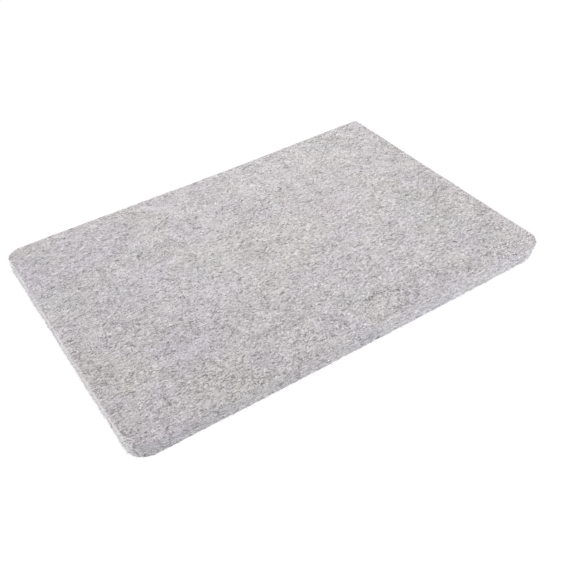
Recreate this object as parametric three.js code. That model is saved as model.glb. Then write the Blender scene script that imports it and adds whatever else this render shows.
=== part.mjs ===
// Wool felt pressing pad: two felt plies needled and pressed together face to face.
// Millimetres, +Z up. The origin is the middle of the underside, +X runs along the long side and -Y is the front.
import * as THREE from 'three';

// The pad seen from above.
const PAD_LENGTH = 350;
const PAD_WIDTH = 240;

// Each ply is one sheet of quarter-inch felt.
const LOWER_PLY_THICKNESS = 6.35;
const UPPER_PLY_THICKNESS = 6.35;

// The corners are trimmed one by one with a knife that leans, so each has its own radius at the pressing face
// and at the underside.
const BACK_RIGHT_CORNER_ABOVE = 5;
const BACK_RIGHT_CORNER_BELOW = 5;
const BACK_LEFT_CORNER_ABOVE = 11.5;
const BACK_LEFT_CORNER_BELOW = 14.5;
const FRONT_LEFT_CORNER_ABOVE = 15;
const FRONT_LEFT_CORNER_BELOW = 15;
const FRONT_RIGHT_CORNER_ABOVE = 13;
const FRONT_RIGHT_CORNER_BELOW = 21.5;

// How far the cut edge is rounded at the pressing face, at the seam of the plies and at the underside.
const PRESSING_FACE_ROUNDING = 2;
const SEAM_ROUNDING = 0.7;
const UNDERSIDE_ROUNDING = 2;

// The tightest corner that the soft felt keeps where the rounding draws the outline in.
const SHARPEST_CORNER = 1;

const FELT_GREY = 0xc3bfc1;
const FELT_ROUGHNESS = 0.95;
const CORNER_STEPS = 8;
const ROUNDING_STEPS = 6;
const QUARTER_TURN = Math.PI / 2;

// The plies meet at the seam, so both take its height from the lower ply.
const seamHeight = LOWER_PLY_THICKNESS;
const padThickness = seamHeight + UPPER_PLY_THICKNESS;

// Corners in turn round the pad, each with the sides that it joins and the direction in which its arc starts.
const CORNERS = [
  { sideX: 1, sideY: 1, above: BACK_RIGHT_CORNER_ABOVE, below: BACK_RIGHT_CORNER_BELOW, start: 0 },
  { sideX: -1, sideY: 1, above: BACK_LEFT_CORNER_ABOVE, below: BACK_LEFT_CORNER_BELOW, start: QUARTER_TURN },
  { sideX: -1, sideY: -1, above: FRONT_LEFT_CORNER_ABOVE, below: FRONT_LEFT_CORNER_BELOW, start: 2 * QUARTER_TURN },
  { sideX: 1, sideY: -1, above: FRONT_RIGHT_CORNER_ABOVE, below: FRONT_RIGHT_CORNER_BELOW, start: 3 * QUARTER_TURN },
];

// The pad's outline at a height, drawn in from the cut edge, always with the same number of points.
function padOutline(height, inset) {
  const halfLength = PAD_LENGTH / 2 - inset;
  const halfWidth = PAD_WIDTH / 2 - inset;
  const outline = new THREE.Shape();
  for (const { sideX, sideY, above, below, start } of CORNERS) {
    const radius = THREE.MathUtils.lerp(below, above, height / padThickness);
    const drawnIn = Math.max(radius - inset, SHARPEST_CORNER);
    const x = sideX * (halfLength - drawnIn);
    const y = sideY * (halfWidth - drawnIn);
    outline.absarc(x, y, drawnIn, start, start + QUARTER_TURN);
  }
  return outline.getPoints(CORNER_STEPS);
}

// The cut edge of a ply in section, from its lower face to its upper face, as heights and insets.
function cutEdge(lowerFace, upperFace, lowerRounding, upperRounding) {
  const share = Math.min(1, (upperFace - lowerFace) / (lowerRounding + upperRounding));
  const lower = lowerRounding * share;
  const upper = upperRounding * share;
  const section = [];
  for (let step = 0; step <= ROUNDING_STEPS; step += 1) {
    const angle = (step / ROUNDING_STEPS) * QUARTER_TURN;
    section.push({ height: lowerFace + lower * (1 - Math.cos(angle)), inset: lower * (1 - Math.sin(angle)) });
  }
  for (let step = 0; step <= ROUNDING_STEPS; step += 1) {
    const angle = (step / ROUNDING_STEPS) * QUARTER_TURN;
    section.push({ height: upperFace - upper * (1 - Math.sin(angle)), inset: upper * (1 - Math.cos(angle)) });
  }
  return section.filter(({ height }, index) => index === 0 || height > section[index - 1].height);
}

// A closed solid lofted through the outlines of a cut edge, with a flat face at each end.
function loftedPly(section) {
  const rings = section.map(({ height, inset }) => padOutline(height, inset));
  const ringSize = rings[0].length;
  const positions = rings.flatMap((ring, level) => ring.flatMap(({ x, y }) => [x, y, section[level].height]));
  const triangles = [];
  for (let level = 0; level + 1 < rings.length; level += 1) {
    const below = level * ringSize;
    const above = below + ringSize;
    for (let point = 0; point < ringSize; point += 1) {
      const next = (point + 1) % ringSize;
      triangles.push(below + point, below + next, above + next);
      triangles.push(below + point, above + next, above + point);
    }
  }
  const topRing = (rings.length - 1) * ringSize;
  for (const [a, b, c] of THREE.ShapeUtils.triangulateShape(rings[0], [])) {
    triangles.push(c, b, a);
  }
  for (const [a, b, c] of THREE.ShapeUtils.triangulateShape(rings.at(-1), [])) {
    triangles.push(topRing + a, topRing + b, topRing + c);
  }
  const geometry = new THREE.BufferGeometry();
  geometry.setAttribute('position', new THREE.Float32BufferAttribute(positions, 3));
  geometry.setIndex(triangles);
  geometry.computeVertexNormals();
  return geometry;
}

// One named ply with the cut edge that it is given.
function feltPly(name, section) {
  const felt = new THREE.MeshStandardMaterial({ color: FELT_GREY, roughness: FELT_ROUGHNESS, metalness: 0 });
  const ply = new THREE.Mesh(loftedPly(section), felt);
  ply.name = name;
  return ply;
}

const pad = new THREE.Group();
pad.name = 'felt_pressing_pad';
pad.add(feltPly('lower_felt_ply', cutEdge(0, seamHeight, UNDERSIDE_ROUNDING, SEAM_ROUNDING)));
pad.add(feltPly('upper_felt_ply', cutEdge(seamHeight, padThickness, SEAM_ROUNDING, PRESSING_FACE_ROUNDING)));

export default pad;
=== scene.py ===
# %% [markdown]
# # A wool felt pressing pad
#
# The pad is two sheets of quarter-inch wool felt, needled and pressed together face to face, with
# trimmed round corners. It lies flat on a table and holds the heat of an iron. The lesson starts from
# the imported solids, which give the pad's place and size, and dresses each sheet in a soft surface, a
# heathered grey finish and loose wool.

# %% Load the frame
import math

import bpy
import numpy as np
from mathutils import Matrix, Vector


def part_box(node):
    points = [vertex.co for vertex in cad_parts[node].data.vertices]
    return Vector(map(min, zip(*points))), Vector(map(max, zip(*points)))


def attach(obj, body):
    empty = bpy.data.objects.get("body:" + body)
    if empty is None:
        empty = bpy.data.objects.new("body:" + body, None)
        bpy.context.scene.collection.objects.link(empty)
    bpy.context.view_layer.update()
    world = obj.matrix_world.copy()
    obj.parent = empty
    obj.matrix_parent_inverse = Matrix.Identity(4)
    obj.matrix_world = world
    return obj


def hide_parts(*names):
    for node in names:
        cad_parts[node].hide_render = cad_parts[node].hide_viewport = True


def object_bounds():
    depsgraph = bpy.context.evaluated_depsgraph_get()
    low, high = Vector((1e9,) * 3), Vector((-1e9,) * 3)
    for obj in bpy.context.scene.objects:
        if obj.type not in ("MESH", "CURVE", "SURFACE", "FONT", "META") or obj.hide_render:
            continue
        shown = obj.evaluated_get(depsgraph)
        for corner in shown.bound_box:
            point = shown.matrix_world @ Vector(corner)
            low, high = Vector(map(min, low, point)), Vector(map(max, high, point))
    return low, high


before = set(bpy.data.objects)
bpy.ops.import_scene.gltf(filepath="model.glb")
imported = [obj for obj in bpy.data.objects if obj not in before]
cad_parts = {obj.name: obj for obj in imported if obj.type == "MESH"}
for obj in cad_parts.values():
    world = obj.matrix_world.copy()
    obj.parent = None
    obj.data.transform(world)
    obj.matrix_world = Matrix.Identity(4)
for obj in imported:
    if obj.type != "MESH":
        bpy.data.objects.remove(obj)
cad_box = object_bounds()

# Sizes on the pad are in millimetres, and MM turns them into Blender's metres.
MM = 0.001
HALF_LENGTH, HALF_WIDTH, PAD_THICKNESS = np.array(cad_box[1]) / MM
SEAM_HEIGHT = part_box("upper_felt_ply")[0][2] / MM
pad_size = [round(float(size), 2) for size in (2 * HALF_LENGTH, 2 * HALF_WIDTH, PAD_THICKNESS)]
print("pad of", pad_size, "mm, with the seam of its plies at", round(SEAM_HEIGHT, 2), "mm")

# %% [markdown]
# ## The camera
#
# The picture looks down on the pad from its front left. A camera can be placed by eye, or worked out
# from the pad's outline: its straight sides meet in two vanishing points, which fix the lens and the
# angles. The second way was used, so the values below are a fitted focal length in pixels of the
# picture, three angles, a distance and the point on the table that the camera looks at.

# %% Set the camera
PICTURE_SIDE = 576
FOCAL_PIXELS = 782.5
SENSOR_WIDTH = 36.0
AZIMUTH = math.radians(-31.36)
ELEVATION = math.radians(40.80)
ROLL = math.radians(3.19)
CAMERA_DISTANCE = 595.4 * MM
AIM = Vector((-8.38 * MM, -36.38 * MM, 0.0))

towards_camera = Vector((
    math.sin(AZIMUTH) * math.cos(ELEVATION),
    -math.cos(AZIMUTH) * math.cos(ELEVATION),
    math.sin(ELEVATION),
))
level_right = Vector((0, 0, 1)).cross(towards_camera).normalized()
level_up = towards_camera.cross(level_right)
picture_right = math.cos(ROLL) * level_right - math.sin(ROLL) * level_up
picture_up = math.sin(ROLL) * level_right + math.cos(ROLL) * level_up

lens = bpy.data.cameras.new("picture_camera")
lens.sensor_width = SENSOR_WIDTH
lens.lens = SENSOR_WIDTH * FOCAL_PIXELS / PICTURE_SIDE
camera = bpy.data.objects.new("picture_camera", lens)
camera_turn = Matrix((picture_right, picture_up, towards_camera)).transposed().to_4x4()
camera.matrix_world = Matrix.Translation(AIM + CAMERA_DISTANCE * towards_camera) @ camera_turn
bpy.context.scene.collection.objects.link(camera)
bpy.context.scene.camera = camera
bpy.context.scene.view_settings.view_transform = "Standard"
print("lens", round(lens.lens, 1), "mm, at", [round(value, 3) for value in camera.location])

# %% [markdown]
# ## Small helpers for finishes
#
# Colours are written as sRGB hex values, as a paint chart gives them, and Blender wants linear light,
# so one function turns them. Another small function adds a node, sets its properties and sockets, and
# links what is a socket. Two more start a material and give a colour ramp its stops.

# %% Colour and node helpers
def linear(hex_colour):
    """An sRGB hex colour such as "#C3BFC1" as linear red, green, blue and alpha."""
    parts = [int(hex_colour[place:place + 2], 16) / 255 for place in (1, 3, 5)]
    light = [part / 12.92 if part <= 0.04045 else ((part + 0.055) / 1.055) ** 2.4 for part in parts]
    return (*light, 1.0)


def add_node(tree, kind, inputs=None, **properties):
    """Adds a node of that kind. An input that is given a socket is linked, any other value is set."""
    node = tree.nodes.new(kind)
    for name, value in properties.items():
        setattr(node, name, value)
    for socket, value in (inputs or {}).items():
        if isinstance(value, bpy.types.NodeSocket):
            tree.links.new(value, node.inputs[socket])
        else:
            node.inputs[socket].default_value = value
    return node


def new_material(name):
    """An empty node material with its output node."""
    material = bpy.data.materials.new(name)
    material.use_nodes = True
    material.node_tree.nodes.clear()
    return material, material.node_tree, material.node_tree.nodes.new("ShaderNodeOutputMaterial")


def set_tones(ramp, tones):
    """Gives a colour ramp its stops, each a position from 0 to 1 and an sRGB hex colour."""
    stops = ramp.color_ramp.elements
    while len(stops) < len(tones):
        stops.new(1.0)
    for stop, (position, tone_colour) in zip(stops, tones):
        stop.position = position
        stop.color = linear(tone_colour)


print("mid grey", [round(part, 3) for part in linear("#808080")])

# %% [markdown]
# ## The white floor and backdrop
#
# The pad is shown on plain white. A white floor under strong light would do it, but that light would
# bleach the felt too. So the floor is paper that looks to the camera mostly like its own glow and
# partly like lit paper: it comes out white, and still keeps a faint shadow beside the pad. For the
# light that bounces off it the paper is grey, because the cut sides in the picture get little light
# from below. The world is made in the same way: white to the camera, and a weak even light to the felt.

# %% Paper floor
FLOOR_SIDE = 8.0
FLOOR_DROP = 0.1 * MM
PAPER_BOUNCED = linear("#6A6A6A")
PAPER_SEEN = linear("#5B5B5B")
PAPER_GLOW = 0.95


def seen_directly(tree):
    """A socket that is 1 for what the camera sees, directly or in a mirror or glass."""
    path = add_node(tree, "ShaderNodeLightPath")
    or_in_mirror = add_node(tree, "ShaderNodeMath", {
        0: path.outputs["Is Camera Ray"], 1: path.outputs["Is Glossy Ray"],
    })
    or_through_glass = add_node(tree, "ShaderNodeMath", {
        0: or_in_mirror.outputs[0], 1: path.outputs["Is Transmission Ray"],
    }, use_clamp=True)
    return or_through_glass.outputs[0]


def white_paper():
    """White seamless paper: even and matt, and bright enough to the camera to read as a white ground."""
    material, tree, output = new_material("white_seamless_paper")
    bounced = add_node(tree, "ShaderNodeBsdfDiffuse", {"Color": PAPER_BOUNCED})
    seen = add_node(tree, "ShaderNodeBsdfDiffuse", {"Color": PAPER_SEEN})
    glow = add_node(tree, "ShaderNodeEmission", {"Strength": PAPER_GLOW})
    lit = add_node(tree, "ShaderNodeAddShader", {0: seen.outputs[0], 1: glow.outputs[0]})
    paper = add_node(tree, "ShaderNodeMixShader", {
        0: seen_directly(tree), 1: bounced.outputs[0], 2: lit.outputs[0],
    })
    tree.links.new(paper.outputs[0], output.inputs["Surface"])
    return material


half = FLOOR_SIDE / 2
floor_outline = ((-half, -half), (half, -half), (half, half), (-half, half))
floor_mesh = bpy.data.meshes.new("paper_floor")
floor_mesh.from_pydata([(x, y, -FLOOR_DROP) for x, y in floor_outline], [], [(0, 1, 2, 3)])
floor_mesh.materials.append(white_paper())
floor = bpy.data.objects.new("paper_floor", floor_mesh)
bpy.context.scene.collection.objects.link(floor)
print("floor", FLOOR_SIDE, "m wide")

# %% White world
SKY_SHARE = 0.26
WHITE = linear("#FFFFFF")

world = bpy.data.worlds.new("white_studio")
bpy.context.scene.world = world
world.use_nodes = True
world_tree = world.node_tree
world_tree.nodes.clear()
sky = add_node(world_tree, "ShaderNodeBackground", {"Color": WHITE, "Strength": SKY_SHARE})
backdrop = add_node(world_tree, "ShaderNodeBackground", {"Color": WHITE, "Strength": 1.0})
choice = add_node(world_tree, "ShaderNodeMixShader", {
    0: seen_directly(world_tree), 1: sky.outputs[0], 2: backdrop.outputs[0],
})
add_node(world_tree, "ShaderNodeOutputWorld", {"Surface": choice.outputs[0]})
print("even light of", SKY_SHARE, "of plain white")

# %% [markdown]
# ## The light
#
# The light is read from the felt. Its left side is its palest part, its face brightens towards the
# back, and its front side is dim at the left corner and brightens towards the right. So one softbox
# stands low and far off on the left, one in front on the right, and one hangs low over the pad's back
# edge. A sun and a sky would be simpler, but they light a whole side evenly. Each softbox's power is
# worked out from the share of a plain white that it gives to a surface that faces it, so that a colour
# renders about as it is written.

# %% Softboxes
# Each softbox's name, its place and side in metres, and its share of plain white.
SOFTBOXES = (
    ("left_softbox", (-1.97, 0.07, 0.30), 0.55, 0.93),
    ("front_right_softbox", (1.29, -1.17, 0.43), 0.60, 1.10),
    ("back_softbox", (0.05, 0.15, 0.38), 0.45, 0.56),
)


def softbox(name, place, side, share):
    """A square lamp that faces the pad and gives that share of plain white to a surface that faces it."""
    lamp = bpy.data.lights.new(name, "AREA")
    lamp.size = side
    lamp.energy = share * math.pi ** 2 * Vector(place).length_squared
    box = bpy.data.objects.new(name, lamp)
    box.location = place
    box.rotation_euler = Vector(place).to_track_quat("Z", "Y").to_euler()
    box.visible_camera = False
    bpy.context.scene.collection.objects.link(box)
    print(name, "power", round(lamp.energy, 2), "W")


for settings in SOFTBOXES:
    softbox(*settings)

# %% [markdown]
# ## The cut outline
#
# Everything on the pad is measured from its cut edge, so one function gives, for any point, how far it
# lies inside that edge and which way the edge faces there. The knife leaned at some corners, so a
# corner's radius goes from one value at the underside to another at the pressing face, as on the
# solids. The outline could be read from a solid's mesh, but a formula is exact everywhere and takes
# whole arrays of points at once.

# %% Distance from the cut edge
CORNERS_ABOVE = {(1, 1): 5.0, (-1, 1): 11.5, (-1, -1): 15.0, (1, -1): 13.0}
CORNERS_BELOW = {(1, 1): 5.0, (-1, 1): 14.5, (-1, -1): 15.0, (1, -1): 21.5}
NEARLY_ZERO = 1e-9


def corner_radius(side_x, side_y, z):
    """Radius in mm of the corners on those sides of the pad, at heights z."""
    radius = np.zeros(np.broadcast(side_x, side_y, z).shape)
    for (corner_x, corner_y), above in CORNERS_ABOVE.items():
        below = CORNERS_BELOW[corner_x, corner_y]
        here = (side_x == corner_x) & (side_y == corner_y)
        radius = np.where(here, below + (above - below) * z / PAD_THICKNESS, radius)
    return radius


def from_edge(x, y, z):
    """How far points lie inside the cut edge, in mm, and the direction out of it, as two arrays."""
    side_x = np.where(x < 0, -1, 1)
    side_y = np.where(y < 0, -1, 1)
    radius = corner_radius(side_x, side_y, z)
    past_x = np.abs(x) - HALF_LENGTH + radius
    past_y = np.abs(y) - HALF_WIDTH + radius
    in_corner = (past_x > 0) & (past_y > 0)
    reach = np.maximum(np.hypot(past_x, past_y), NEARLY_ZERO)
    inside = np.where(in_corner, radius - reach, radius - np.maximum(past_x, past_y))
    out_x = np.where(in_corner, past_x / reach, past_x >= past_y) * side_x
    out_y = np.where(in_corner, past_y / reach, past_x < past_y) * side_y
    return inside, out_x, out_y


from_middle, _, _ = from_edge(np.zeros(1), np.zeros(1), np.zeros(1))
print("the pad's middle lies", round(float(from_middle[0]), 1), "mm inside the cut edge")

# %% [markdown]
# ## A noise for wool
#
# Wool is never even, so the nap and the trimmed edge need a smooth noise of any grain size. Blender's
# own noise takes one point at a time, which is slow for hundreds of thousands of points, so this one
# takes whole arrays. Each corner of a cell of space has a value, hashed from its whole-numbered place
# so that each run is the same, and a point takes a smooth mean of the eight corners round it.

# %% Wool noise
CELL_PRIMES = np.array([73856093, 19349663, 83492791])
SEED_PRIME = 2654435761
MIXING_PRIME = 2246822519
MIXING_SHIFTS = (15, 13, 16)
LOW_32_BITS = 0xFFFFFFFF
HALF_RANGE = 0x7FFFFFFF


def wool_noise(points, grain, seed):
    """Smooth noise from -1 to 1 at points in mm. Grain, one number or three, is how wide its blobs are."""
    place = points / np.array(grain, float)
    cell = np.floor(place).astype(np.int64)
    share = place - cell
    share = share ** 3 * (share * (share * 6 - 15) + 10)
    total = np.zeros(place.shape[:-1])
    for corner in range(8):
        step = np.array([corner & 1, corner >> 1 & 1, corner >> 2])
        mixed = (cell + step) @ CELL_PRIMES + seed * SEED_PRIME
        for shift in MIXING_SHIFTS:
            mixed = (mixed ^ (mixed >> shift)) * MIXING_PRIME & LOW_32_BITS
        weight = np.prod(np.where(step == 1, share, 1 - share), axis=-1)
        total += weight * (mixed / HALF_RANGE - 1)
    return total


sample_points = np.random.default_rng(1).uniform(-HALF_WIDTH, HALF_WIDTH, (4000, 3))
sample = wool_noise(sample_points, grain=5.0, seed=1)
print("noise mean", round(sample.mean(), 3), "spread", round(sample.std(), 3))

# %% [markdown]
# ## How the felt lies
#
# A cut felt sheet is nowhere quite flat or straight: the knife line bows and slants a little, the
# trimmed edge goes in and out, and the face has a low nap. A displacement modifier could bend finished
# sheets, but the loose wool has to lie on the same uneven surface. So it is one function, which moves
# plain points of the pad's surface to where the felt is. The underside is pressed by the table, so its
# nap is lifted a little to stay over it.

# %% Nap, trimming and the knife line
# Waves of the trimmed edge and of the nap: height in mm, grain in mm along one or three axes, and seed.
TRIM_WAVES = ((0.12, 32.0, 112), (0.20, 9.0, 284), (0.28, 3.2, 345))
NAP_WAVES = ((0.10, 45.0, 11), (0.10, 13.0, 12), (0.10, (6.0, 4.0, 4.0), 13), (0.08, (3.0, 2.2, 2.2), 14))
SIDE_NAP_SHARE = 0.4
EDGE_REACH = 6.0
UNDERSIDE_LIFT = 0.6
FRONT_BOW = 0.58
BACK_BOW = -0.52
BACK_SLANT = -0.86
BACK_WAVE = 0.44
RIGHT_BOW = -0.45
RIGHT_SLANT = -0.35


def knife_line(x, y, out_x, out_y):
    """How far outside a straight side the cut runs, in mm: the front bows out and the right in."""
    along = x / HALF_LENGTH
    across = y / HALF_WIDTH
    # The wave's term goes in at the middle of the back and out towards both its ends.
    back = BACK_BOW + BACK_SLANT * along + BACK_WAVE * (5 * along ** 2 - 1)
    long_sides = np.where(out_y < 0, FRONT_BOW, back) * (1 - along ** 2) * np.abs(out_y)
    right = RIGHT_BOW * (1 - across ** 2) + RIGHT_SLANT * (1 - across) / 2
    return long_sides + right * np.maximum(out_x, 0)


def uneven(points, waves):
    """The sum of those waves at points, in mm."""
    return sum(height * wool_noise(points, grain, seed) for height, grain, seed in waves)


def dressed(points, turned, upward):
    """Moves plain points of the surface to where the felt is.

    Turned is the angle by which the surface there has turned from its face, and upward is 1 for the pressing
    face and -1 for the underside.
    """
    inside, out_x, out_y = from_edge(points[..., 0], points[..., 1], points[..., 2])
    nap = uneven(points, NAP_WAVES)
    edge = uneven(points, TRIM_WAVES) + knife_line(points[..., 0], points[..., 1], out_x, out_y)
    swell = SIDE_NAP_SHARE * nap * np.sin(np.minimum(turned, math.pi / 2))
    swell = swell + edge * np.exp(-np.maximum(inside, 0) / EDGE_REACH)
    raised = nap - np.where(np.asarray(upward) < 0, UNDERSIDE_LIFT, 0.0)
    lift = upward * raised * np.maximum(np.cos(turned), 0)
    return points + np.stack([out_x * swell, out_y * swell, lift], axis=-1)


front_walk = np.arange(-HALF_LENGTH, HALF_LENGTH)
front_edge = np.stack([front_walk, 0 * front_walk - HALF_WIDTH, 0 * front_walk + SEAM_HEIGHT / 2], axis=1)
furthest = np.abs(uneven(front_edge, TRIM_WAVES)).max()
print("trimmed edge within", round(float(furthest), 2), "mm of the knife line")

# %% [markdown]
# ## The shape of a ply
#
# Each ply is a sheet with one face that shows, a rounded edge and one face pressed against the other
# ply. It could be the solid with a subdivision and a displacement, but the solid's faces are long
# slivers, which can't carry a nap. So the sheet is made anew: an even grid on the face that shows,
# drawn in at the round corners, then rings that go round the arris and down the cut side. The grid's
# rows are closest at the edge, where the surface turns most. At the seam the edge turns in again, which
# leaves a fine groove along the side where the plies meet.

# %% Face grid
FACE_ROUNDING = 1.0
UNDERSIDE_ROUNDING = 2.0
GRID_STEP = 1.1
CLOSE_ROWS = 14
CLOSE_ZONE = 6.5


def rows_across(half_width):
    """Places of the grid's rows or columns, close together near both ends, where the corners turn."""
    close = CLOSE_ZONE * (np.arange(CLOSE_ROWS) / CLOSE_ROWS) ** 2
    count = int(round(2 * (half_width - CLOSE_ZONE) / GRID_STEP))
    middle = np.linspace(-half_width + CLOSE_ZONE, half_width - CLOSE_ZONE, count + 1)
    return np.concatenate([-half_width + close, middle, half_width - close[::-1]])


def face_grid(z, inset):
    """Grid of points, rows by columns, on the face at height z, drawn in from the cut edge by inset."""
    half_length = HALF_LENGTH - inset
    half_width = HALF_WIDTH - inset
    rows = rows_across(half_width)
    ends = []
    for side in (-1, 1):
        radius = corner_radius(side, np.where(rows < 0, -1, 1), z) - inset
        past = np.clip(np.abs(rows) - half_width + radius, 0, radius)
        ends.append(side * (half_length - radius + np.sqrt(radius ** 2 - past ** 2)))
    across = (rows_across(half_length) / half_length + 1) / 2
    x = ends[0][:, None] + (ends[1] - ends[0])[:, None] * across
    return np.stack([x, np.broadcast_to(rows[:, None], x.shape), np.full(x.shape, z)], axis=-1)


def round_the_grid(rows, columns):
    """Indices of the grid's border, once round it to the left."""
    index = np.arange(rows * columns).reshape(rows, columns)
    return np.concatenate([index[0, :-1], index[:-1, -1], index[-1, :0:-1], index[:0:-1, 0]])


grid_shape = face_grid(PAD_THICKNESS, FACE_ROUNDING).shape
print("pressing face of", grid_shape[0], "rows and", grid_shape[1], "columns")

# %% Edge section and rings
SIDE_STEP = 0.8
ROUND_STEPS = 6
GROOVE_STEPS = 4
GROOVE_HALF_HEIGHT = 0.38
GROOVE_DEPTH = 1.0


def edge_section(rounding, height):
    """The cut edge from face to seam: depth below the face, inset and angle turned from the face."""
    turns = np.linspace(0, math.pi / 2, ROUND_STEPS + 1)[1:]
    straight = np.arange(rounding + SIDE_STEP, height - GROOVE_HALF_HEIGHT - SIDE_STEP / 2, SIDE_STEP)
    groove = np.linspace(0, math.pi / 2, GROOVE_STEPS + 1)
    groove_depths = height - GROOVE_HALF_HEIGHT * (1 - np.sin(groove))
    return np.concatenate([
        np.stack([rounding * (1 - np.cos(turns)), rounding * (1 - np.sin(turns)), turns], axis=1),
        np.stack([straight, 0 * straight, 0 * straight + math.pi / 2], axis=1),
        np.stack([groove_depths, GROOVE_DEPTH * (1 - np.cos(groove)), math.pi / 2 + groove], axis=1),
    ])


def ring_at(border, z, inset):
    """The border's points moved straight out to the cut edge at height z, drawn in by inset."""
    inside, out_x, out_y = from_edge(border[:, 0], border[:, 1], z)
    x = border[:, 0] + out_x * (inside - inset)
    y = border[:, 1] + out_y * (inside - inset)
    return np.stack([x, y, np.full(len(border), z)], axis=1)


print("rings round the upper ply:", len(edge_section(FACE_ROUNDING, PAD_THICKNESS - SEAM_HEIGHT)))

# %% [markdown]
# ## The two felt plies
#
# The finish has to know where it is on the felt: on the cut side, on a short side where the carded
# fibres are cut end on, in the seam's groove, which is darkened by the pressed skin and by painted
# shade, or on the upper arris of a long side, which is darkened by painted shade.
# It could work this out again from heights and places, but the steps that shape the sheet know it
# exactly, so each ply carries four values on its points. A ply ends with one flat face at the seam,
# where it lies on the other.

# %% Faces of a ply and marks for its finish
# How sharply the face turns into cut side, and how far the cut side's mark fades at the round corners.
CUT_SHARPNESS = 6
CORNER_FADE = 0.5


def ply_faces(rows, columns, border, levels, upward):
    """Faces of a ply: its grid, the rings of its edge and one flat face at the seam, all facing out."""
    index = np.arange(rows * columns).reshape(rows, columns)
    corners = [index[:-1, :-1], index[:-1, 1:], index[1:, 1:], index[1:, :-1]]
    quads = [np.stack(corners, axis=-1).reshape(-1, 4)]
    upper = border
    for level in range(levels):
        lower = rows * columns + level * len(border) + np.arange(len(border))
        quads.append(np.stack([upper, lower, np.roll(lower, -1), np.roll(upper, -1)], axis=-1))
        upper = lower
    faces = np.concatenate(quads).tolist() + [upper[::-1].tolist()]
    return faces if upward > 0 else [loop[::-1] for loop in faces]


def mark_felt(mesh, points, turned, upward):
    """Stores on points, 0 to 1: cut side, end grain, seam skin and painted shade, painted arris shade."""
    _, out_x, out_y = from_edge(*points.T)
    on_cut = np.sin(np.minimum(turned, math.pi / 2)) ** CUT_SHARPNESS
    marks = {
        "cut_side": on_cut * (1 - CORNER_FADE * (2 * out_x * out_y) ** 2),
        "end_grain": out_x ** 2,
        # The seam's groove: its pressed skin, and painted shade there.
        "seam_skin_and_shade": np.clip(-np.cos(turned), 0, 1) ** 2,
        # Painted shade on the upper arris of the long sides.
        "painted_arris_shade": np.clip(upward * np.sin(2 * turned), 0, 1) * out_y ** 2,
    }
    for mark, values in marks.items():
        mesh.attributes.new(mark, "FLOAT", "POINT").data.foreach_set("value", values.astype(np.float32))


small_sheet = ply_faces(3, 3, round_the_grid(3, 3), 1, 1)
print("a sheet of 3 by 3 points and one ring has", len(small_sheet), "faces")

# %% Build the plies
def felt_ply(name, face, seam, rounding):
    """A ply with its showing face and its seam at those heights, as an object with a softened surface."""
    grid = face_grid(face, rounding)
    rows, columns = grid.shape[:2]
    flat = grid.reshape(-1, 3)
    border = round_the_grid(rows, columns)
    upward = math.copysign(1, face - seam)
    section = edge_section(rounding, abs(face - seam))
    rings = [ring_at(flat[border], face - upward * depth, inset) for depth, inset, _ in section]
    turned = np.concatenate([np.zeros(len(flat)), np.repeat(section[:, 2], len(border))])
    points = dressed(np.concatenate([flat, *rings]), turned, upward)

    mesh = bpy.data.meshes.new(name)
    mesh.from_pydata(points * MM, [], ply_faces(rows, columns, border, len(section), upward))
    mark_felt(mesh, points, turned, upward)
    mesh.shade_smooth()
    ply = bpy.data.objects.new(name, mesh)
    bpy.context.scene.collection.objects.link(ply)
    print(name, len(mesh.vertices), "points,", len(mesh.polygons), "faces")
    return ply


upper_felt = felt_ply("upper_felt", PAD_THICKNESS, SEAM_HEIGHT, FACE_ROUNDING)
lower_felt = felt_ply("lower_felt", 0.0, SEAM_HEIGHT, UNDERSIDE_ROUNDING)
for ply, node in ((upper_felt, "upper_felt_ply"), (lower_felt, "lower_felt_ply")):
    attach(ply, "root")
    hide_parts(node)

# %% [markdown]
# ## Heathered wool
#
# The felt is carded wool of several natural greys, needled and pressed until the fibres lock. To the
# eye it is full of short curly strokes, darker and lighter, stronger in some clumps than in others.
# Wool fibre is about 0.03 mm thick, far finer than a pixel of the picture, so the strokes are drawn as
# the bundles of fibre that show, about 0.4 mm wide. A drawn image of felt would repeat and blur, so
# each family of strokes is a noise stretched along one direction: one long family along the pad, as the
# wool was carded, and two short ones across it. All patterns are read at the place on a wide sheet of
# felt from which the pad was cut, and another place gives another pad.

# %% Place on the sheet of felt
CUT_FROM_MM = (-769.0, 494.0, 0.0)


def sheet_place(tree):
    """Where a point of the pad lay on the wide sheet of felt that the pad was cut from."""
    on_pad = add_node(tree, "ShaderNodeTexCoord").outputs["Object"]
    shift = [distance * MM for distance in CUT_FROM_MM]
    return add_node(tree, "ShaderNodeVectorMath", {0: on_pad, 1: shift}).outputs[0]


print("the pad's middle lay at", CUT_FROM_MM[:2], "mm on the sheet")

# %% Strokes of the heather
STROKE_WIDTH_MM = 0.38
# Each family's direction in degrees from the long side, and how much longer than wide its strokes are.
STROKE_FAMILIES = ((4.0, 6.0), (60.0, 1.8), (-50.0, 1.8))
CURL_SIZE_MM = 4.0
CURL_MM = 0.9
# The value that a noise texture has on average.
NOISE_MEAN = 0.5


def per_metre(size_mm):
    """The scale of a pattern whose grain is that many millimetres."""
    return 1 / (size_mm * MM)


def curly(tree, place):
    """The place bent to and fro, so that strokes drawn there come out curly."""
    curl = add_node(tree, "ShaderNodeTexNoise", {
        "Vector": place, "Scale": per_metre(CURL_SIZE_MM), "Detail": 1.0,
    })
    centred = add_node(tree, "ShaderNodeVectorMath", {
        0: curl.outputs["Color"], 1: (NOISE_MEAN,) * 3,
    }, operation="SUBTRACT")
    bent = add_node(tree, "ShaderNodeVectorMath", {
        0: centred.outputs[0], 1: (2 * CURL_MM * MM,) * 3, 2: place,
    }, operation="MULTIPLY_ADD")
    return bent.outputs[0]


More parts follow.
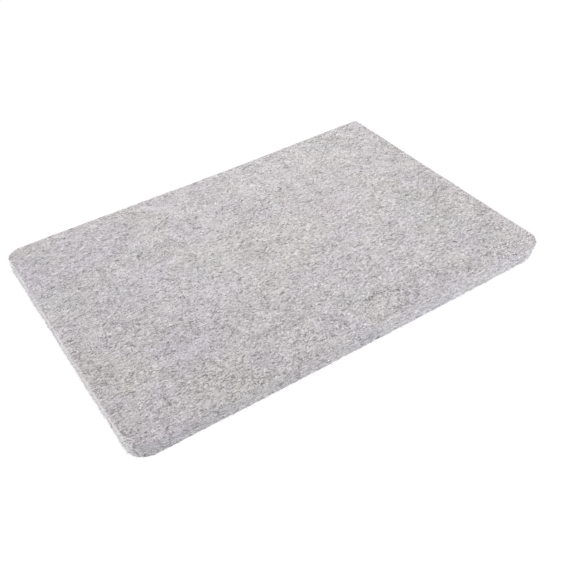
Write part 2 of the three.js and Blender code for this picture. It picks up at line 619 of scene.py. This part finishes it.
def strokes(tree, place):
    """The families of strokes together, about 0 on average."""
    total = -len(STROKE_FAMILIES) * NOISE_MEAN
    for direction, stretch in STROKE_FAMILIES:
        turned = add_node(tree, "ShaderNodeMapping", {
            "Vector": place, "Rotation": (0, 0, math.radians(direction)), "Scale": (stretch, 1, 1),
        }, vector_type="TEXTURE")
        family = add_node(tree, "ShaderNodeTexNoise", {
            "Vector": turned.outputs[0],
            "Scale": per_metre(2 * STROKE_WIDTH_MM),
            "Detail": 1.5,
            "Roughness": 0.6,
        })
        total = add_node(tree, "ShaderNodeMath", {0: total, 1: family.outputs["Fac"]}).outputs[0]
    return total


print("strokes in", len(STROKE_FAMILIES), "families,", STROKE_WIDTH_MM, "mm wide")

# %% Clumps of the heather
STROKE_CONTRAST = 2.42
CLUMP_SIZE_MM = 7.0
CLUMP_STRENGTH = 2.05


def heathered(tree, place):
    """Strokes that stand out more in some clumps than in others, from 0, darkest, to 1, palest."""
    clumps = add_node(tree, "ShaderNodeTexNoise", {
        "Vector": place, "Scale": per_metre(CLUMP_SIZE_MM), "Detail": 2.0,
    })
    looseness = add_node(tree, "ShaderNodeMath", {
        0: clumps.outputs["Fac"], 1: CLUMP_STRENGTH, 2: 1 - CLUMP_STRENGTH * NOISE_MEAN,
    }, operation="MULTIPLY_ADD")
    spread = add_node(tree, "ShaderNodeMath", {
        0: strokes(tree, curly(tree, place)), 1: looseness.outputs[0],
    }, operation="MULTIPLY")
    heather = add_node(tree, "ShaderNodeMapRange", {
        "Value": spread.outputs[0], "From Min": -1 / STROKE_CONTRAST, "From Max": 1 / STROKE_CONTRAST,
    })
    return heather.outputs[0]


print("strokes that stand out in clumps of", CLUMP_SIZE_MM, "mm")

# %% [markdown]
# ## The blend of the fleeces
#
# The greys come from several fleeces that aren't fully blended. So the felt has slow patches, a few
# darker smudges drawn out along the pad, and a grey that drifts between warm and cool. These could be
# painted on by hand, but as noises they have no ends and fit any sheet. The strokes, patches and
# smudges add up to one value, which a ramp turns into the greys of the wool, and the drift is
# multiplied over it.

# %% Patches and smudges
PATCH_SIZE_MM = 30.0
PATCH_STRENGTH = 0.22
SMUDGE_SIZE_MM = 9.0
SMUDGE_STRETCH = 2.5
SMUDGE_STRENGTH = 0.11
SMUDGE_FROM = 0.56
SMUDGE_FULL = 0.80


def patched(tree, place, heather):
    """The heather made darker and paler in slow patches."""
    patches = add_node(tree, "ShaderNodeTexNoise", {
        "Vector": place, "Scale": per_metre(PATCH_SIZE_MM), "Detail": 3.0, "Roughness": 0.75,
    })
    raised = add_node(tree, "ShaderNodeMath", {
        0: patches.outputs["Fac"], 1: PATCH_STRENGTH, 2: heather,
    }, operation="MULTIPLY_ADD")
    level = add_node(tree, "ShaderNodeMath", {
        0: raised.outputs[0], 1: PATCH_STRENGTH * NOISE_MEAN,
    }, operation="SUBTRACT")
    return level.outputs[0]


def smudged(tree, place, tone):
    """The tone with a few darker smudges, drawn out along the pad."""
    drawn_out = add_node(tree, "ShaderNodeMapping", {
        "Vector": place, "Scale": (1 / SMUDGE_STRETCH, 1, 1),
    })
    smudges = add_node(tree, "ShaderNodeTexNoise", {
        "Vector": drawn_out.outputs[0], "Scale": per_metre(SMUDGE_SIZE_MM), "Detail": 2.0,
    })
    sparse = add_node(tree, "ShaderNodeMapRange", {
        "Value": smudges.outputs["Fac"], "From Min": SMUDGE_FROM, "From Max": SMUDGE_FULL,
    })
    darkened = add_node(tree, "ShaderNodeMath", {
        0: sparse.outputs[0], 1: -SMUDGE_STRENGTH, 2: tone,
    }, operation="MULTIPLY_ADD")
    return darkened.outputs[0]


print("patches of", PATCH_SIZE_MM, "mm and smudges of", SMUDGE_SIZE_MM, "mm")

# %% Greys of the fleeces
FELT_TONES = ((0.0, "#686466"), (0.32, "#B2ADAF"), (0.5, "#CEC9CB"), (0.68, "#DFDBDD"), (1.0, "#F6F3F4"))
CAST_SIZE_MM = 60.0
CAST_STRENGTH = (0.11, 0.11, 0.22)


def fleece_colour(tree, place, tone, tones):
    """The tone as a grey of the wool, with slow drifts of colour, as the blend changes over the sheet."""
    ramp = add_node(tree, "ShaderNodeValToRGB", {"Fac": tone})
    set_tones(ramp, tones)
    drift = add_node(tree, "ShaderNodeTexNoise", {
        "Vector": place, "Scale": per_metre(CAST_SIZE_MM), "Detail": 5.0, "Roughness": 0.8,
    })
    from_one = [1 - strength * NOISE_MEAN for strength in CAST_STRENGTH]
    cast = add_node(tree, "ShaderNodeVectorMath", {
        0: drift.outputs["Color"], 1: CAST_STRENGTH, 2: from_one,
    }, operation="MULTIPLY_ADD")
    coloured = add_node(tree, "ShaderNodeMix", {
        "Factor": 1.0, "A": ramp.outputs["Color"], "B": cast.outputs[0],
    }, data_type="RGBA", blend_type="MULTIPLY")
    return coloured.outputs["Result"]


print("felt in", len(FELT_TONES), "greys, with drifts of", CAST_SIZE_MM, "mm")

# %% [markdown]
# ## Needled wool felt
#
# The knife lays open the inside of the felt. On the long sides the carded fibres lie along the cut, so
# it is nearly as grainy as the face, and cooler. On the short sides they are cut end on, so the cut is
# a smooth, even grey. At the seam a darker grey stands partly for the plies' pressed skins and partly
# for painted shade in the groove. On the upper arris of the long sides a darker grey is painted shade,
# so that the arris doesn't catch more light than the face and the side. A material for each place
# would leave hard borders, so one material mixes these tones by the values that the plies carry. Wool
# keratin has an IOR of about 1.54, and felt is fully matt with a faint sheen of loose fibre.

# %% Tones of the cut edge
LONG_CUT_TONE = linear("#EEF4FD")
END_CUT_TONE = linear("#C4C3C6")
# The seam's grey: partly the plies' pressed skin, partly painted shade in the groove.
SEAM_SKIN_AND_SHADE_TONE = linear("#A6A2A4")
# Painted shade on the upper arris of the long sides: its grey, and how much of it is laid on.
ARRIS_SHADE_TONE = linear("#8E8A8C")
ARRIS_SHADE_SHARE = 0.4
LONG_EVENNESS = 0.2
END_EVENNESS = 0.62


def cut_evenness(tree, cut_side, end_grain):
    """How far the cut hides the heather: a little on the long sides, more where fibres are cut end on."""
    smoothed = add_node(tree, "ShaderNodeMath", {
        0: end_grain, 1: END_EVENNESS - LONG_EVENNESS, 2: LONG_EVENNESS,
    }, operation="MULTIPLY_ADD")
    evenness = add_node(tree, "ShaderNodeMath", {
        0: cut_side, 1: smoothed.outputs[0],
    }, operation="MULTIPLY")
    return evenness.outputs[0]


def with_cut_edge(tree, colour, evenness, marks):
    """The colour with the cut side's tones, painted arris shade and the seam's skin and shade over it."""
    cut_tone = add_node(tree, "ShaderNodeMix", {
        "Factor": marks["end_grain"], "A": LONG_CUT_TONE, "B": END_CUT_TONE,
    }, data_type="RGBA")
    cut = add_node(tree, "ShaderNodeMix", {
        "Factor": evenness, "A": colour, "B": cut_tone.outputs["Result"],
    }, data_type="RGBA")
    # Painted shade on the upper arris of the long sides.
    arris_shade_amount = add_node(tree, "ShaderNodeMath", {0: marks["painted_arris_shade"], 1: ARRIS_SHADE_SHARE}, operation="MULTIPLY")
    arris_shaded = add_node(tree, "ShaderNodeMix", {
        "Factor": arris_shade_amount.outputs[0], "A": cut.outputs["Result"], "B": ARRIS_SHADE_TONE,
    }, data_type="RGBA")
    # The seam's pressed skin and painted shade in its groove.
    shown = add_node(tree, "ShaderNodeMix", {
        "Factor": marks["seam_skin_and_shade"], "A": arris_shaded.outputs["Result"], "B": SEAM_SKIN_AND_SHADE_TONE,
    }, data_type="RGBA")
    return shown.outputs["Result"]


print("the cut hides", LONG_EVENNESS, "of the heather on long sides and", END_EVENNESS, "on short ones")

# %% Felt finish
RELIEF_MM = 0.4
RELIEF_STRENGTH = 0.4
FELT_ROUGHNESS = 0.95
WOOL_SURFACE = {"IOR": 1.54, "Specular IOR Level": 0.2, "Sheen Weight": 0.08, "Sheen Roughness": 0.6}


def wool_felt():
    """Needled wool felt: heathered pale grey, fully matt, with short strokes, patches and a soft sheen."""
    material, tree, output = new_material("needled_wool_felt")
    place = sheet_place(tree)
    marks = {
        mark: add_node(tree, "ShaderNodeAttribute", attribute_name=mark).outputs["Fac"]
        for mark in ("cut_side", "end_grain", "seam_skin_and_shade", "painted_arris_shade")
    }
    heather = heathered(tree, place)
    tone = smudged(tree, place, patched(tree, place, heather))
    colour = fleece_colour(tree, place, tone, FELT_TONES)
    evenness = cut_evenness(tree, marks["cut_side"], marks["end_grain"])
    grainy = add_node(tree, "ShaderNodeMath", {0: 1.0, 1: evenness}, operation="SUBTRACT")
    height = add_node(tree, "ShaderNodeMath", {0: heather, 1: grainy.outputs[0]}, operation="MULTIPLY")
    relief = add_node(tree, "ShaderNodeBump", {
        "Height": height.outputs[0], "Strength": RELIEF_STRENGTH, "Distance": RELIEF_MM * MM,
    })
    felt = add_node(tree, "ShaderNodeBsdfPrincipled", {
        "Base Color": with_cut_edge(tree, colour, evenness, marks),
        "Normal": relief.outputs[0],
        "Roughness": FELT_ROUGHNESS,
        **WOOL_SURFACE,
    })
    tree.links.new(felt.outputs[0], output.inputs["Surface"])
    return material


felt_finish = wool_felt()
for ply in (upper_felt, lower_felt):
    ply.data.materials.append(felt_finish)
print("felt finish with", len(felt_finish.node_tree.nodes), "nodes")

# %% [markdown]
# ## Loose wool
#
# Pressing lays most fibres flat, but short ends and small locks stay loose: they lie on the faces and
# on the cut side as pale and dark curls, and stand out as fuzz round the edge. Hair particles could
# draw them, but these have to be part of the mesh, so each strand is a three-sided tube along a short
# curved path. A lock is drawn about a quarter of a millimetre thick, several fibres together, so that
# it shows in the picture.

# %% Tubes
STRAND_SIDES = 3
RING_ANGLES = math.pi / 2 - np.arange(STRAND_SIDES) * 2 * math.pi / STRAND_SIDES


def tube_points(paths, radii, up):
    """Points of tubes along paths: strands by steps by sides by x, y and z."""
    along = np.gradient(paths, axis=1)
    along /= np.linalg.norm(along, axis=2, keepdims=True)
    across = np.cross(along, up)
    across /= np.maximum(np.linalg.norm(across, axis=2, keepdims=True), NEARLY_ZERO)
    lift = np.cross(across, along)
    sides = []
    for angle in RING_ANGLES:
        outward = math.cos(angle) * across + math.sin(angle) * lift
        sides.append(paths + radii[..., None] * outward)
    return np.stack(sides, axis=2)


def tube_faces(count, steps):
    """Walls and ends of that many tubes, as lists of point numbers."""
    index = np.arange(count * steps * STRAND_SIDES).reshape(count, steps, STRAND_SIDES)
    ahead = np.roll(index, -1, axis=2)
    walls = np.stack([index[:, :-1], ahead[:, :-1], ahead[:, 1:], index[:, 1:]], axis=-1).reshape(-1, 4)
    ends = np.concatenate([index[:, 0, ::-1], index[:, -1]])
    return walls.tolist() + ends.tolist()


print("a strand of 3 points has", len(tube_faces(1, 3)), "faces")

# %% [markdown]
# ### Strands as meshes
#
# All strands of a kind are one mesh, because thousands of objects would be slow. A finish that is baked
# needs each face's place on a flat map. An automatic unwrap of so many tubes is very slow too, so each
# strand gets its own cell of a square grid on the map. One of its three corners is set off a little
# there, so that the tube's ends have an area as well.

# %% Bake map and strand meshes
BAKE_MAP = "OFBake"
# Where a strand lies in its cell, as shares of the cell's side.
CELL_START = 0.1
CELL_LENGTH = 0.7
CELL_SETOFF = 0.1
CELL_FIRST_SIDE = 0.15
CELL_SIDE_STEP = 0.35


def bake_places(count, steps):
    """The place of each tube point on the bake map, with one cell of a square grid for each strand."""
    cells = math.ceil(math.sqrt(count))
    numbers = np.arange(count * steps * STRAND_SIDES)
    strand, step, side = np.unravel_index(numbers, (count, steps, STRAND_SIDES))
    along = CELL_START + CELL_LENGTH * step / (steps - 1) + CELL_SETOFF * (side == 1)
    across = CELL_FIRST_SIDE + CELL_SIDE_STEP * side
    return np.stack([strand % cells + along, strand // cells + across], axis=1) / cells


def strand_mesh(name, paths, radii, up, tones, finish):
    """Makes one object of tubes along paths, an array of strands by points by x, y and z in mm.

    Each point has a radius and an upward direction, and each strand has a tone from 0 to 1.
    """
    count, steps = paths.shape[:2]
    mesh = bpy.data.meshes.new(name)
    mesh.from_pydata(tube_points(paths, radii, up).reshape(-1, 3) * MM, [], tube_faces(count, steps))
    corner = np.empty(len(mesh.loops), np.int32)
    mesh.loops.foreach_get("vertex_index", corner)
    on_map = bake_places(count, steps)[corner].astype(np.float32)
    mesh.uv_layers.new(name=BAKE_MAP).uv.foreach_set("vector", on_map.ravel())
    tone = mesh.attributes.new("lock_tone", "FLOAT", "POINT")
    tone.data.foreach_set("value", np.repeat(tones, steps * STRAND_SIDES).astype(np.float32))
    mesh.shade_smooth()
    mesh.materials.append(finish)
    strands = bpy.data.objects.new(name, mesh)
    bpy.context.scene.collection.objects.link(strands)
    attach(strands, "root")
    print(name, count, "strands,", len(mesh.polygons), "faces")


print("places on the map", BAKE_MAP, "lie between", bake_places(4, 3).min(), "and", bake_places(4, 3).max())

# %% [markdown]
# ### The finish of the locks
#
# A lock is wool like the felt under it, but all of one fleece, so it has one grey from end to end.
# Separate materials for many greys would be clumsy. Instead each lock carries a value, and a ramp gives
# it a grey of the pale or of the dark fleeces. The slow drift of colour is the felt's own, so that a
# lock doesn't stand out from its place.

# %% Finish of pale and grey locks
LOCK_ROUGHNESS = 0.9
PALE_TONES = ((0.0, "#C4C0C2"), (0.5, "#D8D5D7"), (1.0, "#F2F0F1"))
GREY_TONES = ((0.0, "#545153"), (0.3, "#8C898B"), (1.0, "#C6C2C4"))


def loose_wool(name, tones):
    """Loose wool locks, matt with a soft sheen, each lock in one of the natural greys of the fleece."""
    material, tree, output = new_material(name)
    lock = add_node(tree, "ShaderNodeAttribute", attribute_name="lock_tone").outputs["Fac"]
    wool = add_node(tree, "ShaderNodeBsdfPrincipled", {
        "Base Color": fleece_colour(tree, sheet_place(tree), lock, tones),
        "Roughness": LOCK_ROUGHNESS,
        **WOOL_SURFACE,
    })
    tree.links.new(wool.outputs[0], output.inputs["Surface"])
    return material


pale_wool = loose_wool("pale_wool_locks", PALE_TONES)
grey_wool = loose_wool("grey_wool_locks", GREY_TONES)
print("loose wool:", pale_wool.name, "and", grey_wool.name)

# %% [markdown]
# ### Locks on the faces
#
# Locks could be strewn at random, but then they crowd and leave holes. So a face has an even grid of
# cells with one lock to a cell, and a slow noise thins them out in places, as wool does. Each lock has
# its own heading and curl: carding leaves most of them along the pad, and needling turns the rest
# anyhow. They follow the nap, also where it goes over the arris, and are partly sunk in it.

# %% Curled paths and their radii
ALONG_SHARE = 0.7
HEADING_SPREAD = 0.35
TURN_SPREAD = 1.3
LOCK_POINTS = 3
LOCK_LENGTHS = (1.2, 4.4)
# The least, the usual and the most that a lock's radius can be at its middle, and how thin its ends are.
LOCK_RADII = (0.07, 0.13, 0.28)
LOCK_RADIUS_SPREAD = 0.3
LOCK_TAPER = np.array([0.5, 1.0, 0.5])


def curled(chance, count, steps, length):
    """Flat curled paths round the origin: strands by points by x and y."""
    heading = np.where(
        chance.random(count) < ALONG_SHARE,
        chance.normal(0.0, HEADING_SPREAD, count),
        chance.uniform(-math.pi / 2, math.pi / 2, count),
    )
    turn = chance.normal(0.0, TURN_SPREAD, count)
    angle = heading[:, None] + turn[:, None] * np.linspace(-0.5, 0.5, steps)
    step = length[:, None] / (steps - 1)
    x = np.cumsum(np.cos(angle) * step, axis=1)
    y = np.cumsum(np.sin(angle) * step, axis=1)
    return np.stack([x, y], axis=2)


def lock_radii(chance, count):
    """Radii of locks in mm, most of them near the middle value, thin at both ends."""
    least, usual, most = LOCK_RADII
    thickest = np.clip(chance.lognormal(math.log(usual), LOCK_RADIUS_SPREAD, count), least, most)
    return thickest[:, None] * LOCK_TAPER


print("locks of", LOCK_POINTS, "points, from", LOCK_LENGTHS[0], "to", LOCK_LENGTHS[1], "mm long")

# %% Locks on the pressing face and the underside
FACE_LOCKS = 18000
UNDERSIDE_LOCKS = 6000
# How far a lock's middle stands over the felt, as a share of its radius.
LOCK_RISE = 0.4
BARE_GRAIN = 8.0
BARE_SHARE = 0.3
EDGE_MARGIN = 0.05


def on_face(path, upward):
    """Points on a face's felt, over its rounded arris too, and the way out of it, for paths of x and y."""
    face = PAD_THICKNESS if upward > 0 else 0.0
    rounding = FACE_ROUNDING if upward > 0 else UNDERSIDE_ROUNDING
    x, y = path[..., 0], path[..., 1]
    inside, out_x, out_y = from_edge(x, y, np.full_like(x, face))
    turned = np.arcsin(np.clip(1 - inside / rounding, 0, 1))
    z = face - upward * rounding * (1 - np.cos(turned))
    way_out = np.stack([out_x * np.sin(turned), out_y * np.sin(turned), upward * np.cos(turned)], axis=-1)
    return dressed(np.stack([x, y, z], axis=-1), turned, upward), way_out


def face_locks(name, seed, count, upward, finish):
    """Locks that lie on a face, one to a cell of an even grid, fewer in bare places."""
    chance = np.random.default_rng(seed)
    columns = int(round(math.sqrt(count * HALF_LENGTH / HALF_WIDTH)))
    rows = count // columns
    count = rows * columns
    cell_x = 2 * HALF_LENGTH / columns
    cell_y = 2 * HALF_WIDTH / rows
    middle_x = (np.tile(np.arange(columns), rows) + chance.random(count)) * cell_x - HALF_LENGTH
    middle_y = (np.repeat(np.arange(rows), columns) + chance.random(count)) * cell_y - HALF_WIDTH
    path = curled(chance, count, LOCK_POINTS, chance.uniform(*LOCK_LENGTHS, count))
    path += np.stack([middle_x, middle_y], axis=1)[:, None]
    face = np.full(path.shape[:2], PAD_THICKNESS if upward > 0 else 0.0)
    inside, _, _ = from_edge(path[..., 0], path[..., 1], face)
    bare = wool_noise(np.column_stack([middle_x, middle_y, 0 * middle_x]), BARE_GRAIN, seed)
    path = path[(inside.min(axis=1) > EDGE_MARGIN) & (chance.random(count) > BARE_SHARE + bare)]
    radii = lock_radii(chance, len(path))
    points, way_out = on_face(path, upward)
    points += way_out * radii[..., None] * LOCK_RISE
    strand_mesh(name, points, radii, way_out, chance.random(len(path)), finish)


face_locks("pale_face_locks", seed=31, count=FACE_LOCKS, upward=1, finish=pale_wool)
face_locks("grey_face_locks", seed=32, count=FACE_LOCKS, upward=1, finish=grey_wool)
face_locks("pale_underside_locks", seed=33, count=UNDERSIDE_LOCKS, upward=-1, finish=pale_wool)
face_locks("grey_underside_locks", seed=34, count=UNDERSIDE_LOCKS, upward=-1, finish=grey_wool)

# %% [markdown]
# ### Locks on the cut side
#
# The knife leaves loose locks on the cut side too. On the long sides, where the fibres lie along the
# cut, there are many. On the short sides, where they are cut end on, there are few. None lies over the
# seam, because the groove there has to stay a clean line. They could be copies of the face's locks
# turned on edge, but round the corners those would stick out. So a path is drawn flat, as on a face,
# and then read as a walk round the pad and a height.

# %% Locks round the cut side
PALE_SIDE_LOCKS = 4200
GREY_SIDE_LOCKS = 3000
END_SHARE = 0.08
LOWEST_LOCK = 0.4
SEAM_CLEARANCE = 0.45
WAY_ROUND = 4 * (HALF_LENGTH + HALF_WIDTH)


def on_side(walk, z):
    """Points on the cut side's felt and the way out of it, at distances round the pad and heights in mm."""
    turns = np.cumsum([0, 2 * HALF_LENGTH, 2 * HALF_WIDTH, 2 * HALF_LENGTH, 2 * HALF_WIDTH])
    walk = walk % turns[-1]
    x = np.interp(walk, turns, HALF_LENGTH * np.array([-1, 1, 1, -1, -1]))
    y = np.interp(walk, turns, HALF_WIDTH * np.array([-1, -1, 1, 1, -1]))
    above = np.arcsin(np.clip(1 - (PAD_THICKNESS - z) / FACE_ROUNDING, 0, 1))
    below = np.arcsin(np.clip(1 - z / UNDERSIDE_ROUNDING, 0, 1))
    lean = above - below
    inset = FACE_ROUNDING * (1 - np.cos(above)) + UNDERSIDE_ROUNDING * (1 - np.cos(below))
    inside, out_x, out_y = from_edge(x, y, z)
    plain = np.stack([x + out_x * (inside - inset), y + out_y * (inside - inset), z], axis=-1)
    way_out = np.stack([out_x * np.cos(lean), out_y * np.cos(lean), np.sin(lean)], axis=-1)
    return dressed(plain, math.pi / 2 - np.abs(lean), np.where(lean < 0, -1.0, 1.0)), way_out


def side_locks(name, seed, count, finish):
    """Locks that lie on the cut side, fewer on the short sides, where the fibres are cut end on."""
    chance = np.random.default_rng(seed)
    walk = chance.uniform(0, WAY_ROUND, count)
    height = chance.uniform(0, PAD_THICKNESS, count)
    path = curled(chance, count, LOCK_POINTS, chance.uniform(*LOCK_LENGTHS, count))
    path += np.stack([walk, height], axis=1)[:, None]
    z = path[..., 1]
    on_cut = (z.min(axis=1) > LOWEST_LOCK) & (z.max(axis=1) < PAD_THICKNESS)
    under_seam = z.max(axis=1) < SEAM_HEIGHT - SEAM_CLEARANCE
    over_seam = z.min(axis=1) > SEAM_HEIGHT + SEAM_CLEARANCE
    path = path[on_cut & (under_seam | over_seam)]
    points, way_out = on_side(path[..., 0], path[..., 1])
    kept = chance.random(len(path)) < END_SHARE + (1 - END_SHARE) * np.abs(way_out[:, 1, 1])
    points, way_out = points[kept], way_out[kept]
    radii = lock_radii(chance, len(points))
    points += way_out * radii[..., None] * LOCK_RISE
    strand_mesh(name, points, radii, way_out, chance.random(len(points)), finish)


side_locks("pale_side_locks", seed=41, count=PALE_SIDE_LOCKS, finish=pale_wool)
side_locks("grey_side_locks", seed=43, count=GREY_SIDE_LOCKS, finish=grey_wool)

# %% [markdown]
# ### Fuzz round the edge
#
# Single ends stand out of the cut side, most of them at its two arrises, and soften the pad's outline.
# A blurred or see-through edge would only look soft from one side, so these are thin tubes like the
# locks. Each starts in the felt, leans anyhow but never back into it, bends a little and gets thinner
# to its tip. None hangs below the table.

# %% Edge fuzz
EDGE_FUZZ = 3000
FUZZ_TO_ARRISES = 0.6
FUZZ_LOWEST = 0.7
FUZZ_UNDER_FACE = 0.2
FUZZ_LENGTHS = (0.6, 1.8)
FUZZ_RADII = (0.05, 0.10)
FUZZ_TAPER = np.array([1.0, 0.7, 0.3])
FUZZ_SWAY = 0.7
FUZZ_BEND = 0.105
FUZZ_CLEARANCE = 0.1


def edge_fuzz(name, seed, count, finish):
    """Short ends that stand out of the cut side, most of them at its two arrises."""
    chance = np.random.default_rng(seed)
    walk = chance.uniform(0, WAY_ROUND, count)
    spread = chance.beta(FUZZ_TO_ARRISES, FUZZ_TO_ARRISES, count)
    z = FUZZ_LOWEST + (PAD_THICKNESS - FUZZ_UNDER_FACE - FUZZ_LOWEST) * spread
    root, way_out = on_side(walk, z)
    sway = chance.normal(0.0, FUZZ_SWAY, (count, 3))
    length = chance.uniform(*FUZZ_LENGTHS, count)[:, None]
    back_in = np.minimum((way_out * sway).sum(axis=1, keepdims=True), 0)
    heading = way_out + sway - way_out * back_in
    heading /= np.linalg.norm(heading, axis=1, keepdims=True)
    bend = chance.normal(0.0, FUZZ_BEND, (count, 3))
    tip = root + length * heading
    middle = (root + tip) / 2 + bend * length
    paths = np.stack([root, middle, tip], axis=1)
    paths[..., 2] = np.maximum(paths[..., 2], FUZZ_CLEARANCE)
    radii = chance.uniform(*FUZZ_RADII, count)[:, None] * FUZZ_TAPER
    # So thin a tube may be turned anyhow about its length, so any direction off its heading will do.
    up = np.cross(way_out, (heading + sway / 2)[:, ::-1])[:, None]
    strand_mesh(name, paths, radii, up, chance.random(count), finish)


edge_fuzz("edge_fuzz", seed=42, count=EDGE_FUZZ, finish=grey_wool)
